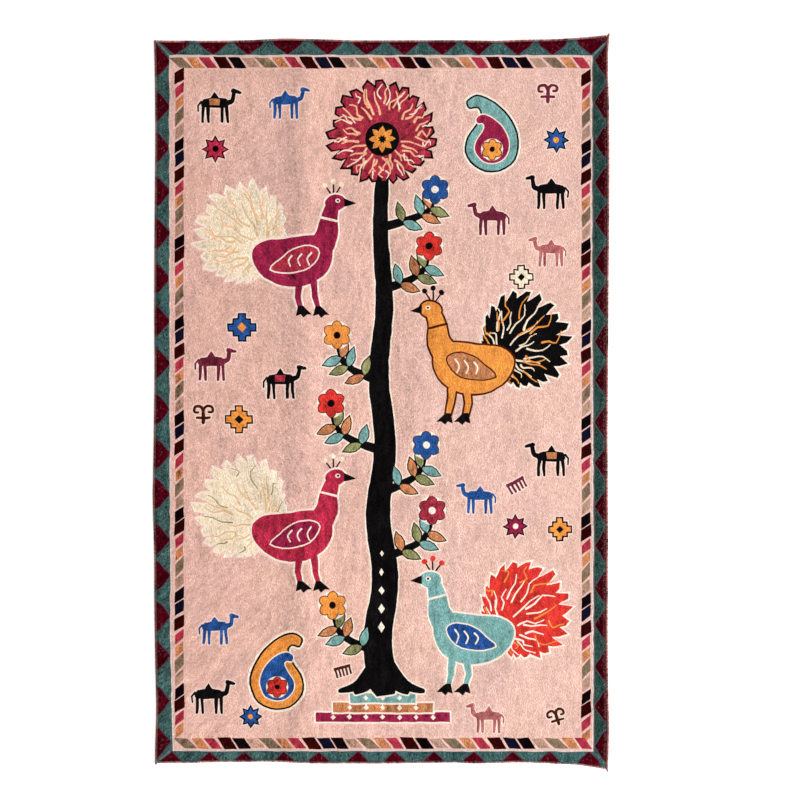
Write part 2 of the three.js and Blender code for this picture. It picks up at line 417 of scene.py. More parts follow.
def plume(put, centre, reach, teeth, colour, edge, streaks, seed):
    """A ragged fan of feathers or petals: reach is its radius by angle, and streaks run outwards in it."""
    random = np.random.default_rng(seed)
    angles, radii = np.array(reach, float).T

    def at(angle, share):
        radius = share * np.interp(angle % 360, angles, radii, period=360)
        return radius[:, None] * heading(np.radians(angle)) + centre

    tooth = 360 / teeth
    start = np.arange(teeth) * tooth
    rim = np.stack([start, start + 0.55 * tooth, start + 0.9 * tooth], axis=1)
    length = np.tile([0.83, 1.0, 0.96], (teeth, 1)) + random.uniform(-0.05, 0.05, (teeth, 3))
    outlined(colour, edge, 7, put(at(rim.ravel(), length.ravel())))
    for tint, count, inner, outer, width in streaks:
        for angle in 360 * (np.arange(count) + random.uniform(-0.3, 0.3, count)) / count:
            begin = inner + random.uniform(0, 0.32)
            share = np.linspace(begin, min(outer, begin + random.uniform(0.25, 0.5)), 4)
            line = at(angle + random.uniform(-5, 5, 4), share)
            if np.interp(angle % 360, angles, radii, period=360) > SHORTEST_FEATHER:
                thick = width * random.uniform(0.8, 1.25)
                paint(tint, put(stroke(curved(line, steps=2), thick, width * 0.5)))


def blossom(x, y, radius, colour, heart):
    """A small flower with six round petals."""
    paint("pale", oval(x, y, radius + 5))
    for edge, tint in ((2.8, "brown"), (0.0, colour)):
        for angle in [2 * math.pi * (petal + 0.5) / 6 for petal in range(6)]:
            paint(tint, oval(x + 0.56 * radius * math.cos(angle), y + 0.56 * radius * math.sin(angle),
                             0.5 * radius + edge, 0.38 * radius + edge, angle, 12))
    paint(heart, oval(x, y, 0.28 * radius, count=10))


DIAMOND = np.array([(-1, 0), (0, -1), (1, 0), (0, 1)])
LEAF = np.array([(0, 0), (11, 9), (25, 13), (41, 10), (52, 4), (60, 0), (52, -4), (41, -10), (25, -13),
                 (11, -9)])
BRANCHES = [
    # side, height on the trunk, reach, rise, colour of the blossom
    (-1, -830, 165, 120, "mustard"), (1, -510, 170, 120, "raspberry"), (1, -290, 150, 120, "blue"),
    (-1, -150, 170, 120, "red"), (-1, 80, 150, 120, "mustard"), (1, 390, 160, 110, "red"),
    (1, 600, 180, 90, "blue"),
]

# The mound, in three steps with a row of diamonds on each
MOUND_X, MOUND_Y = 4, -1078
STEP_HEIGHT = 32
for step, colour in enumerate(("plum", "ochre", "pale_teal")):
    half = 226 - 58 * step
    low, high = MOUND_Y + STEP_HEIGHT * step, MOUND_Y + STEP_HEIGHT * (step + 1)
    paint("pale", rectangle(MOUND_X - half - 6, low - 6, MOUND_X + half + 6, high + 6))
    paint(colour, rectangle(MOUND_X - half, low, MOUND_X + half, high))
    for dot in range(-3 + step, 4 - step):
        paint("pale", DIAMOND * 9 + (MOUND_X + dot * 56, low + STEP_HEIGHT / 2))

# The tree: its trunk and roots, a twig with three pairs of leaves and a blossom for each row, and diamonds
trunk = curved([(6, -948), (-14, -800), (12, -600), (-12, -380), (12, -150), (-10, 90), (10, 330),
                (-4, 560), (2, 760)], steps=5)
wood = [stroke(trunk, 104, 44)]
for side in (-1, 1):
    for reach, drop in ((140, -974), (86, -980)):
        root = [(side * 16, -880), (side * reach * 0.55, -952), (side * reach, drop)]
        wood.append(stroke(curved(root), 52, 16))
leaves = []
flowers = []
for number, (side, height, reach, rise, colour) in enumerate(BRANCHES):
    twig = curved([(0, height - 12), (side * reach * 0.4, height + rise * 0.06),
                   (side * reach * 0.84, height + rise * 0.42), (side * reach, height + rise)])
    wood.append(stroke(twig, 34, 14))
    for where in (0.4, 0.6, 0.82):
        for lean in (-1, 1):
            tint = ("pale_teal", "moss", "ochre")[(number + len(leaves)) % 3]
            angle = math.radians(90 - side * 48 + lean * 64)
            leaves.append((tint, turned(LEAF * 1.12, angle) + twig[int(where * (len(twig) - 1))]))
    flowers.append((*twig[-1], colour))
for _, leaf in leaves:
    paint("pale", grown(leaf, 8))
outlined("black", "pale", 5, *wood)
for tint, leaf in leaves:
    outlined(tint, "black", 3.5, leaf)
for x, y, colour in flowers:
    blossom(x, y + 24, 44, colour, "pale" if colour in ("blue", "raspberry") else "black")
for number in range(5):
    paint("pale", DIAMOND * (11, 17) * (1.1 - 0.12 * number) + (0, -760 + 62 * number))

# The large blossom at its top
CROWN = (2, 884)
PETALS = [(0, 178), (45, 186), (90, 196), (135, 184), (180, 176), (225, 158), (270, 140), (315, 156)]
plume(place(*CROWN), (0, 0), PETALS, 26, "raspberry", "black",
      [("peach", 38, 0.36, 0.92, 7.5), ("pale", 18, 0.5, 0.94, 5.5)], 92)
paint("black", oval(*CROWN, 58, count=20))
for number in range(8):
    paint("mustard", turned(LEAF * (0.62, 0.8) + (9, 0), math.pi * number / 4) + CROWN)

# The birds, drawn as they face the right
BIRD_BODY = curved([(130, 52), (128, 2), (98, -50), (34, -84), (-46, -84), (-110, -54), (-148, -4),
                    (-150, 44), (-108, 76), (-30, 84), (50, 94), (104, 88)], closed=True, steps=3)
BIRD_WING = curved([(84, 34), (50, -18), (-20, -38), (-88, -26), (-54, 8), (-8, 44), (50, 56)],
                   closed=True, steps=3)
BIRD_TAIL = [(0, 52), (50, 96), (80, 185), (105, 250), (135, 272), (168, 258), (198, 222), (228, 150),
             (262, 84), (310, 52)]
BIRD_NECK = stroke(curved([(84, 46), (112, 96), (118, 150), (132, 198)], steps=3), 94, 46)
BIRD_HEAD = oval(142, 210, 37, 29, 0.12)
BIRD_LEGS = [stroke(leg, 25, 16) for leg in ([(14, -74), (8, -124), (18, -164)],
                                             [(66, -70), (70, -122), (80, -160)])]
BIRD_FOOT = np.array([(-9, -156), (9, -156), (42, -187), (24, -187), (10, -198), (1, -186), (-17, -193)])
BIRDS = [
    # X, Y, mirrored, body, wing, edge, tail, crest, streaks in the tail, seed
    (-290, 470, False, "plum", "raspberry", "pale", "cream", "cream",
     [("sand", 36, 0.2, 0.88, 7.0), ("peach", 20, 0.4, 0.92, 6.0)], 11),
    (300, 110, True, "mustard", "ochre", "brown", "black", "black",
     [("cream", 34, 0.2, 0.86, 7.0), ("mustard", 22, 0.35, 0.92, 6.5)], 21),
    (-290, -455, False, "rose", "plum", "pale", "cream", "cream",
     [("sand", 34, 0.2, 0.88, 7.0), ("moss", 14, 0.45, 0.9, 5.0)], 31),
    (300, -800, True, "pale_teal", "blue", "pale", "red", "red",
     [("pale", 34, 0.2, 0.88, 7.0), ("mustard", 16, 0.4, 0.92, 6.0)], 41),
]
for x, y, mirrored, body, wing, edge, tail, crest, streaks, seed in BIRDS:
    put = place(x, y, 0.95, mirrored)
    plume(put, (-104, 44), BIRD_TAIL, 34, tail, "pale", streaks, seed)
    for tip in ((104, 270), (134, 286), (164, 276)):
        paint("black", put(stroke([(134, 228), tip], 6, 5)))
        paint(crest, put(oval(*tip, 10, count=8)))
    outlined(body, edge, 6.5, *map(put, [BIRD_BODY, BIRD_NECK, BIRD_HEAD, *BIRD_LEGS]))
    for colour, outline in (
        ("black", [(172, 226), (216, 206), (173, 195)]),
        ("black", BIRD_FOOT + (18, 0)), ("black", BIRD_FOOT + (80, 0)),
        ("pale", oval(150, 216, 9, 8, count=8)), ("black", oval(151, 216, 4.5, count=6)),
        (edge, stroke([(84, 160), (148, 143)], 8)),
    ):
        paint(colour, put(outline))
    outlined(wing, edge, 4.5, put(BIRD_WING))
    for feather in range(3):
        quill = [(56, 34), (42, 12), (50, -12)] + feather * np.array([(-34, -6), (-34, -4), (-34, -2)])
        paint("pale", put(stroke(curved(quill), 6.5, 5)))

# The botehs, one inside the other, with a blossom
BOTEH = curved([(0, -150), (-72, -122), (-102, -52), (-88, 22), (-48, 82), (6, 126), (58, 142), (96, 120),
                (86, 88), (58, 92), (44, 70), (60, 32), (92, -14), (102, -72), (68, -126)],
               closed=True, steps=3)
BOTEH_SCALE = 0.9
for x, y, mirrored, outer, inner, heart in (
    (372, 905, True, "pale_teal", "plum", "mustard"), (-352, -905, False, "mustard", "blue", "red"),
):
    whole = place(x, y, BOTEH_SCALE, mirrored)(BOTEH)
    outlined("black", "pale", 7, whole)
    paint(outer, grown(whole, -6))
    outlined(inner, "pale", 4, place(x, y - 20 * BOTEH_SCALE, BOTEH_SCALE * 0.62, mirrored)(BOTEH))
    blossom(x, y - 62 * BOTEH_SCALE, 36 * BOTEH_SCALE, heart, "black")

# The camels: hump, neck, head, tail and legs
CAMEL = [
    curved([(-42, 10), (-34, 25), (-14, 28), (-2, 46), (10, 29), (30, 27), (42, 14), (36, 2), (0, -1),
            (-36, 1)], closed=True, steps=2),
    stroke(curved([(34, 14), (50, 20), (55, 46)]), 16, 11), stroke([(52, 48), (73, 44)], 14, 8),
    stroke([(-41, 18), (-51, 6), (-50, -10)], 6, 5),
    *[stroke([(hip, 6), (hoof, -42)], 11, 8) for hip, hoof in ((-34, -37), (-21, -19), (21, 20), (34, 37))],
]
CAMELS = [
    # X, Y, scale, mirrored, colour, saddle
    (-560, 990, 1.15, False, "black", "ochre"), (-322, 1000, 1.05, False, "blue", None),
    (570, 700, 1.15, True, "black", None), (372, 610, 1.1, True, "wine", None),
    (570, 500, 1.0, True, "dusty_rose", None), (-572, 120, 1.1, False, "wine", None),
    (-340, 60, 1.15, False, "black", "raspberry"), (570, -200, 1.15, True, "black", "ochre"),
    (330, -330, 1.05, True, "blue", None), (-580, -1000, 1.15, False, "black", None),
    (-560, -770, 1.05, False, "blue", None), (360, -1070, 1.0, True, "dusty_rose", None),
]
for x, y, scale, mirrored, colour, saddle in CAMELS:
    put = place(x, y, scale, mirrored)
    outlined(colour, "halo", 4, *map(put, CAMEL))
    if saddle:
        paint(saddle, put([(-18, 25), (14, 25), (12, 7), (-16, 7)]))

# Eight-pointed stars and stepped crosses
STAR = heading(np.arange(16) * math.pi / 8) * np.where(np.arange(16) % 2, 0.56, 1.0)[:, None]
quarter = np.array([(1, 0.22), (0.6, 0.22), (0.6, 0.6), (0.22, 0.6), (0.22, 1)])
CROSS = np.vstack([quarter, quarter[::-1] * (-1, 1), -quarter, quarter[::-1] * (1, -1)])
for shape, x, y, size, colour, edge, heart in (
    (STAR, -560, 850, 40, "rose", "black", "black"), (STAR, 588, 880, 38, "blue", "black", "mustard"),
    (STAR, -440, -1060, 34, "blue", "black", "mustard"), (STAR, 450, -420, 36, "plum", "black", "pale"),
    (CROSS, -470, 250, 44, "blue", "black", "mustard"), (CROSS, -480, -60, 42, "mustard", "black", "black"),
    (CROSS, 470, 420, 36, "cream", "black", "black"), (CROSS, 600, -430, 36, "mustard", "navy", "navy"),
):
    paint("halo", grown(shape * size + (x, y), 9))
    outlined(colour, edge, 5, shape * size + (x, y))
    middle = oval(0, 0, 0.27, count=8) if shape is STAR else DIAMOND * -0.36
    paint(heart, middle * size + (x, y))

# Combs and ram's horns
COMB = [rectangle(-36, 8, 36, 20), *[rectangle(x - 4, -24, x + 4, 12) for x in range(-30, 31, 15)]]
HORN = curved([(0, -30), (0, 6), (10, 24), (28, 22), (30, 6), (18, 4)])
RAM_HORNS = [stroke(HORN, 12, 8), stroke(HORN * (-1, 1), 12, 8), stroke([(-22, -14), (22, -14)], 9)]
for parts, x, y, scale, turn, colour in (
    (RAM_HORNS, -600, -40, 1.0, 0, "brown"), (RAM_HORNS, 560, 1040, 1.0, 0, "wine"),
    (COMB, -130, -905, 0.8, 0.3, "brown"), (COMB, 455, -280, 0.9, 0.5, "wine"),
    (RAM_HORNS, 588, -1060, 0.9, 0.3, "brown"),
):
    outlined(colour, "halo", 4, *map(place(x, y, scale, turn=turn), parts))

# Backing cloth
# The rug's body is one piece of woven polyester. The print soaks through its face, between the roots of the
# pile, and its back stays undyed. It is a closed sheet, a few millimetres thick, that lies on the floor.
DYES = {
    "teal": "#3d5a58", "deep_teal": "#28423d", "maroon": "#4a0110", "deep_maroon": "#370006",
    "slate": "#4a4a52", "grey_teal": "#667b7b", "taupe": "#6b5f5a",
    "cream_line": "#d9bfb6", "strip_rose": "#e2b4a9", "ground": "#e3b6a8", "halo": "#f3d3c6",
    "pale": "#f6e2d2",
    "maroon_brown": "#2e0403", "raspberry": "#a93143", "ochre": "#c07b52", "sage": "#7e6853",
    "tan": "#b08a76", "soot": "#0d0408", "navy": "#0f0e22", "mustard": "#e89143", "brown": "#4a1c0e",
    "plum": "#962244", "rose": "#b52c45", "pale_teal": "#7ba4a0", "black": "#0e0c0d",
    "cream": "#f1dbc0", "sand": "#dfb98f", "peach": "#f4b691", "red": "#d2352e", "blue": "#28508f",
    "wine": "#6c2436", "dusty_rose": "#a95e5c", "moss": "#8d8a5c",
}
NAP_DEPTH = 3.0
GRID_STEP = 18
WELD = 0.35
# Painted shade: the cloth's face between the tufts and the tufts' roots are painted darker, as little light
# gets down there.
PAINTED_ROOT_SHADE = 0.8
UPRIGHT = 0.5


def linear(hex_colour):
    """An sRGB hex colour as linear red, green and blue."""
    srgb = np.array([int(hex_colour[k:k + 2], 16) for k in (1, 3, 5)]) / 255
    return np.where(srgb <= 0.04045, srgb / 12.92, ((srgb + 0.055) / 1.055) ** 2.4)


DYE_NAMES = list(DYES)
DYE_COLOURS = np.array([linear(hex_colour) for hex_colour in DYES.values()])


def dye_numbers(x, y):
    """Which dye lies at each point: every printed outline covers what was printed before it."""
    order = np.argsort(y)
    across, along = x[order], y[order]
    dye = np.full(len(x), DYE_NAMES.index("teal"))
    for colour, outline in printed:
        low, high = np.searchsorted(along, (outline[:, 1].min(), outline[:, 1].max()))
        inside = np.zeros(high - low, bool)
        for (x_0, y_0), (x_1, y_1) in zip(outline, np.roll(outline, -1, 0)):
            first, last = np.searchsorted(along, sorted((y_0, y_1)))
            if last > first:
                crossing = x_0 + (along[first:last] - y_0) * (x_1 - x_0) / (y_1 - y_0)
                inside[first - low:last - low] ^= across[first:last] < crossing
        dye[low + np.nonzero(inside)[0]] = DYE_NAMES.index(colour)
    result = np.empty(len(x), int)
    result[order] = dye
    return result


def print_under(points):
    """The print's colour under points of any array."""
    plan = points[..., :2].reshape(-1, 2).astype(float)
    return DYE_COLOURS[dye_numbers(*plan.T)].reshape(points.shape)


def add_node(tree, kind, inputs=None, **settings):
    """Add a node with its settings, and set or link its inputs."""
    node = tree.nodes.new(kind)
    for name, value in settings.items():
        setattr(node, name, value)
    for name, value in (inputs or {}).items():
        if isinstance(value, bpy.types.NodeSocket):
            tree.links.new(value, node.inputs[name])
        else:
            node.inputs[name].default_value = value
    return node


def new_material(name, inputs):
    """A material with one principled shader, set by its inputs, and its node tree."""
    material = bpy.data.materials.new(name)
    material.use_nodes = True
    tree = material.node_tree
    tree.nodes.clear()
    shader = add_node(tree, "ShaderNodeBsdfPrincipled", inputs)
    add_node(tree, "ShaderNodeOutputMaterial", {"Surface": shader.outputs["BSDF"]})
    return material, tree, shader


def numbers_of(items, field, width=1, kind=np.float32):
    """One field of many points, corners or faces of a mesh, as an array."""
    values = np.empty(len(items) * width, kind)
    items.foreach_get(field, values)
    return values.reshape(-1, width) if width > 1 else values


def keep_map(mesh, places):
    """Keep the place of each face corner on the piece's own map."""
    layer = mesh.attributes.new("OFBake", "FLOAT2", "CORNER")
    layer.data.foreach_set("vector", places.astype(np.float32).ravel())


def keep_dyes(mesh, domain, colours):
    """Keep a dye for each face or point."""
    layer = mesh.attributes.new("dye", "FLOAT_COLOR", domain)
    layer.data.foreach_set("color", np.insert(colours, 3, 1, axis=1).astype(np.float32).ravel())


def finished(mesh, *materials):
    """Make a piece of a mesh, in millimetres and in the rug's own frame, and put it in its place."""
    in_place = numbers_of(mesh.vertices, "co", 3) * MM + (*shift, 0)
    mesh.vertices.foreach_set("co", in_place.astype(np.float32).ravel())
    for material in materials:
        mesh.materials.append(material)
    mesh.update()
    piece = bpy.data.objects.new(mesh.name, mesh)
    bpy.context.scene.collection.objects.link(piece)
    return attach(piece, "root")


# The outlines of the print become edges of the mesh, so that its colours meet in crisp lines
points = [Vector(point) for point in cloth_edge]
edges = [(k, (k + 1) % len(points)) for k in range(len(points))]
for _, outline in printed:
    first = len(points)
    points += [Vector(point) for point in outline]
    edges += [(first + k, first + (k + 1) % len(outline)) for k in range(len(outline))]
grid_x, grid_y = np.meshgrid(steps_over(RUG_WIDTH, GRID_STEP), steps_over(RUG_LENGTH, GRID_STEP))
on_cloth = distance_from_rim(grid_x, grid_y) > GRID_STEP / 2
points += [Vector(point) for point in zip(grid_x[on_cloth], grid_y[on_cloth])]
corners, _, faces, *_ = geometry.delaunay_2d_cdt(points, edges, [], 0, WELD)
corners = np.array(corners)
faces = np.array(faces)
faces = faces[distance_from_rim(*corners[faces].mean(1).T) > 0]
used, faces = np.unique(faces, return_inverse=True)
corners = corners[used]
heights = pile_height(*corners.T) - NAP_DEPTH

sheet = bpy.data.meshes.new("backing_cloth")
sheet.from_pydata(np.column_stack([corners, heights]).tolist(), [], faces.reshape(-1, 3).tolist())
work = bmesh.new()
work.from_mesh(sheet)
rim = [edge for edge in work.edges if edge.is_boundary]
lower = bmesh.ops.extrude_edge_only(work, edges=rim)["geom"]
for vertex in [part for part in lower if isinstance(part, bmesh.types.BMVert)]:
    vertex.co.z = 0
floor_edges = [part for part in lower if isinstance(part, bmesh.types.BMEdge) and part.is_boundary]
back = bmesh.ops.contextual_create(work, geom=floor_edges)["faces"]
bmesh.ops.recalc_face_normals(work, faces=work.faces)
for face in work.faces:
    face.smooth = True
    face.material_index = int(face in back or abs(face.normal.z) < UPRIGHT)
work.to_mesh(sheet)
work.free()
sheet.update()

# Its map: the face, flat, over the left part, with the rim folded outwards, and the back beside it
FACE_SHARE = 0.62
MAP_MARGIN = 8.0
facing = np.repeat(numbers_of(sheet.polygons, "normal", 3),
                   numbers_of(sheet.polygons, "loop_total", kind=np.int32), axis=0)
places = numbers_of(sheet.vertices, "co", 3)[numbers_of(sheet.loops, "vertex_index", kind=np.int32)]
folded = np.where(np.abs(facing[:, 2]) < UPRIGHT, RIM_THICKNESS - NAP_DEPTH - places[:, 2], 0)
flat = places[:, :2] + folded[:, None] * facing[:, :2]
size = np.array([RUG_WIDTH, RUG_LENGTH]) + 2 * MAP_MARGIN
on_map = flat / size + 0.5
on_back = facing[:, 2] < -UPRIGHT
back_scale = (1 - FACE_SHARE) / size[0]
on_map[:, 0] = np.where(on_back, 1 - (0.5 * size[0] - flat[:, 0]) * back_scale, on_map[:, 0] * FACE_SHARE)
on_map[:, 1] = np.where(on_back, 0.5 + flat[:, 1] * back_scale, on_map[:, 1])
keep_map(sheet, on_map)
keep_dyes(sheet, "FACE", print_under(numbers_of(sheet.polygons, "center", 3)) * PAINTED_ROOT_SHADE)

# Printed plush ground: matt short fibre roots, in the print's dyes but darker, as little light gets there
printed_ground, tree, shader = new_material("printed_plush_ground", {
    "Roughness": 0.95, "IOR": 1.5, "Specular IOR Level": 0.02,
})
dye = add_node(tree, "ShaderNodeAttribute", attribute_name="dye")
tree.links.new(dye.outputs["Color"], shader.inputs["Base Color"])

# Undyed polyester back: a plain weave of thick ribs with a dull, slightly uneven face. The real ribs are
# 1.5 mm apart, and they are drawn 5 mm apart so that they show.
RIB = 5.0
RIB_HEIGHT = 0.4
woven_back, tree, shader = new_material("undyed_woven_back", {
    "Roughness": 0.85, "IOR": 1.5, "Specular IOR Level": 0.3,
})
where = add_node(tree, "ShaderNodeTexCoord")
warp, weft = [
    add_node(tree, "ShaderNodeTexWave", {
        "Vector": where.outputs["Object"], "Scale": math.pi / 10 / (RIB * MM), "Distortion": 0.6,
        "Detail": 1.0,
    }, bands_direction=direction)
    for direction in ("X", "Y")
]
weave = add_node(tree, "ShaderNodeMath", {0: warp.outputs["Fac"], 1: weft.outputs["Fac"]},
                 operation="MULTIPLY")
tint = add_node(tree, "ShaderNodeMix", {
    "Factor": weave.outputs["Value"], "A": (*linear("#b9ab98"), 1), "B": (*linear("#ded3c2"), 1),
}, data_type="RGBA")
bump = add_node(tree, "ShaderNodeBump", {"Height": weave.outputs["Value"], "Strength": 0.5,
                                         "Distance": RIB_HEIGHT * MM})
tree.links.new(tint.outputs["Result"], shader.inputs["Base Color"])
tree.links.new(bump.outputs["Normal"], shader.inputs["Normal"])

backing = finished(sheet, printed_ground, woven_back)
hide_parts("rug_pile")

# Pile
# The pile is short, soft polyester tufts on the face of the cloth, all one length and printed over their
# tips. It leans towards the foot of the rug, and hands and folding have brushed it into streaks.
TUFT_PITCH = 4.4
TUFT_STRAY = 0.36 * TUFT_PITCH
TUFT_RADIUS = 2.8
TUFT_LEAN = 5.6
TUFT_ROOT = NAP_DEPTH + 0.4
THIRDS = np.arange(3) * 2 * math.pi / 3
random = np.random.default_rng(31)

cell_x, cell_y = np.meshgrid(np.arange(-780, 780, TUFT_PITCH), np.arange(-1250, 1250, TUFT_PITCH))
cell_x[1::2] += TUFT_PITCH / 2
cells = np.array([cell_x.ravel(), cell_y.ravel()])
tuft = cells + random.uniform(-TUFT_STRAY, TUFT_STRAY, cells.shape)
keep = distance_from_rim(*tuft) > 1.0
cells, tuft = cells[:, keep], tuft[:, keep]
count = tuft.shape[1]

# Which way the nap lies: towards the foot, slanting at the lower left, turned by slow swirls, and a little
# by each tuft
slanting = smooth_step(-tuft[0], 100, 520) * smooth_step(-tuft[1], 250, 900)
swirl = 34 * soft_noise(*tuft, 520, 41) + 22 * soft_noise(*tuft, 130, 42)
nap_way = np.radians(-42 * slanting + swirl) - math.pi / 2
nap = nap_way + np.radians(12) * random.standard_normal(count)
free = 0.25 + 0.75 * smooth_step(distance_from_rim(*tuft), 0, 12)
lean = TUFT_LEAN * free * random.uniform(0.75, 1.25, count)
spin = random.uniform(0, 2 * math.pi, count)
roots = TUFT_RADIUS * heading(spin[:, None] + THIRDS)
tips = lean[:, None, None] * heading(nap)[:, None]
plan = np.concatenate([roots, tips], axis=1) + tuft.T[:, None]

# Dyes meet in a clean line, so a tuft that lies across one is moved off it, and those left are made small
NUDGE = 1.8
NUDGES = 3
CLEAR_OF_RIM = 3
SMALL = 0.5
middle = plan.mean(1)
own_dye = dye_numbers(*middle.T)
across = np.arange(count)
for attempt in range(NUDGES + 1):
    strange = dye_numbers(*plan[across].reshape(-1, 2).T).reshape(-1, 4) != own_dye[across, None]
    still = strange.any(1)
    across, strange = across[still], strange[still]
    if attempt < NUDGES:
        away = np.sum((middle[across, None] - plan[across]) * strange[:, :, None], axis=1)
        away *= NUDGE / np.maximum(np.hypot(*away.T), 0.1)[:, None]
        away *= (distance_from_rim(*(middle[across] + away).T) > CLEAR_OF_RIM)[:, None]
        plan[across] += away[:, None]
        middle[across] += away
plan[across] = middle[across, None] + SMALL * (plan[across] - middle[across, None])
tuft = plan[:, :3].mean(1).T
from_rim = distance_from_rim(*tuft)

height = pile_height(*tuft)
tufts = np.empty((count, 4, 3))
tufts[:, :, :2] = plan
tufts[:, :3, 2] = height[:, None] - TUFT_ROOT
tufts[:, 3, 2] = height + 0.3 * random.standard_normal(count).clip(-2, 2)

# The print lies on the tips as the pile rests. Brushing turns the nap this way and that, and the lighter and
# darker streaks where it catches the light or turns from it are painted into the colours as painted sheen
# and painted shade, with painted glints on the lighter streaks; they show most in the dark dyes. The nap is
# painted paler and less saturated towards the right, as painted sheen of the light from the right, and
# paler still in a narrow strip beside the right edge.
LIGHTNESS = np.array([0.2126, 0.7152, 0.0722])
# Painted highlight: the tufts' tips are painted lighter, as they catch the light.
PAINTED_TIP_HIGHLIGHT = 1.08
PALE_FIBRE = 0.035
RIGHT_EDGE_PALING = (0.08, 0.03, 0.035)


def drawn_out(x, y, angle, width, length, seed):
    """Noise in streaks along an angle that changes from place to place, from fields at four angles."""
    total = 0
    power = 0
    for number in range(4):
        way = number * math.pi / 4
        weight = np.cos(angle - way) ** 8
        along = x * math.cos(way) + y * math.sin(way)
        across = y * math.cos(way) - x * math.sin(way)
        total = total + weight * soft_noise(along / length, across / width, 1, seed + number)
        power = power + weight ** 2
    return total / np.sqrt(power)


dyed = DYE_COLOURS[own_dye]
darkness = smooth_step(0.5 - dyed @ LIGHTNESS, 0, 0.3)
handled = 1 - smooth_step(from_rim, 42, 56)
# Painted sheen and shade in streaks along the nap, where the brushed pile catches the light or turns from
# it, and a tone of each tuft's own.
sheen_streaks_and_tone = (0.15 * drawn_out(*tuft, nap_way, 16, 52, 50) + 0.15 * drawn_out(*tuft, nap_way, 7, 22, 60)
          + 0.08 * random.standard_normal(count)) * (1 - 0.35 * smooth_step(tuft[0], 100, 500))
sheen_streaks_and_tone += (0.02 + 0.11 * handled) * random.standard_normal(count)
brightness = 1 + sheen_streaks_and_tone * (1 + 1.6 * darkness) + 0.04 * soft_noise(*tuft, 80, 45)
tint = (0.03 + 0.05 * darkness)[:, None] * random.standard_normal((count, 3)) * (0.5, 0.5, 1.0)
for amount, red_green_blue in (
    (0.03 * soft_noise(*tuft, 110, 46), (0.2, 0.0, -1.0)),
    (0.12 * handled * soft_noise(*tuft, 26, 47), (-1.0, 0.3, 0.4)),
    # Painted sheen: the nap is painted paler and less saturated towards the right, where it catches the
    # light from the right.
    (smooth_step(tuft[0], -620, -330), (0.015, 0.045, 0.05)),
    (smooth_step(tuft[0], -150, 300), (0.03, 0.1, 0.115)),
):
    tint += amount[:, None] * red_green_blue
# Painted shade and highlight: each tuft's roots are painted darker and its tip lighter, as the tips catch
# the light.
painted_shade_and_highlight = np.array([PAINTED_ROOT_SHADE, PAINTED_ROOT_SHADE, PAINTED_ROOT_SHADE, PAINTED_TIP_HIGHLIGHT])[:, None]
tuft_dyes = (dyed * np.maximum(brightness, 0.2)[:, None] * (1 + tint))[:, None] * painted_shade_and_highlight
# Real pale fibres here and there, and painted glints on the lighter streaks.
pale_fibres_and_glints = 0.01 * np.maximum(sheen_streaks_and_tone, 0) + PALE_FIBRE * handled * (random.random(count) < 0.06)
# Paler in a narrow strip beside the right edge, more in some tufts than in others.
right_edge_paling = smooth_step(tuft[0], 700, 740) * (1 - smooth_step(from_rim, 5, 14)) * random.uniform(0, 2, count)
tuft_dyes += (pale_fibres_and_glints[:, None] + right_edge_paling[:, None] * RIGHT_EDGE_PALING)[:, None]
tuft_dyes = tuft_dyes.clip(0, 1)

# Light falls on the nap as on one soft surface: a tuft's normal follows the cloth and its own lean. Creases
# part the nap, which shows more than their height does. The marks are brushed in, and raise nothing.
NAP_PARTING = 6.5
NAP_MARKS = [
    ((-565, 430), (-488, 240), -0.22, 12), ((-560, 225), (-548, 10), 0.16, 16),
    ((-430, -110), (-296, -400), 0.3, 14), ((-352, 60), (-322, -180), -0.14, 14),
    ((-650, -1120), (-380, -850), 0.2, 18), ((-560, -1140), (-330, -920), -0.16, 16),
    ((-120, 930), (-92, 690), -0.12, 14), ((40, 900), (46, 640), 0.14, 13),
    ((108, 880), (100, 680), -0.14, 12),
    ((-96, -120), (-100, -380), -0.2, 18), ((210, 900), (232, 720), -0.12, 12),
    ((470, -330), (300, -480), 0.14, 15), ((-640, 780), (-520, 560), 0.14, 16),
    ((-330, 300), (-180, 130), 0.16, 14),
]


def slopes(height):
    """How steeply a surface rises at each tuft, across and along."""
    x, y = tuft
    return np.column_stack([height(x + 4, y) - height(x - 4, y), height(x, y + 4) - height(x, y - 4)]) / 8


normal = np.ones((count, 3))
normal[:, :2] = (0.16 * random.standard_normal((2, count)).T - 0.2 * heading(nap) - slopes(pile_height)
                 - NAP_PARTING * slopes(lambda x, y: creased(x, y, CREASES + NAP_MARKS)))
normal /= np.linalg.norm(normal, axis=1)[:, None]


def dyed_fibres(name, roughness, gloss, fleck, contrast):
    """Fibres in each point's own dye, with lighter and darker flecks of a size in millimetres."""
    material, tree, shader = new_material(name, {
        "Roughness": roughness, "IOR": 1.5, "Specular IOR Level": gloss,
    })
    where = add_node(tree, "ShaderNodeTexCoord")
    sized = add_node(tree, "ShaderNodeMapping", {
        "Vector": where.outputs["Object"], "Scale": [1 / (size * MM) for size in fleck],
    })
    flecks = add_node(tree, "ShaderNodeTexNoise", {
        "Vector": sized.outputs["Vector"], "Scale": 1.0, "Detail": 1.0,
    })
    shade = add_node(tree, "ShaderNodeMapRange", {
        "Value": flecks.outputs["Fac"], "From Min": 0.3, "From Max": 0.7,
        "To Min": 1 - contrast, "To Max": 1 + contrast,
    })
    dye = add_node(tree, "ShaderNodeAttribute", attribute_name="dye")
    flecked = add_node(tree, "ShaderNodeVectorMath", {
        "Vector": dye.outputs["Color"], "Scale": shade.outputs["Result"],
    }, operation="SCALE")
    tree.links.new(flecked.outputs["Vector"], shader.inputs["Base Color"])
    return material


# Plush pile: matt polyester fibres, every tuft its own shade, with lighter and darker fibres down the nap.
# Real fibres are 0.03 mm thick and are drawn 1 mm wide so that they show from close by.
plush = dyed_fibres("printed_plush_pile", 0.9, 0.02, fleck=(1.0, 7.0, 3.0), contrast=0.3)

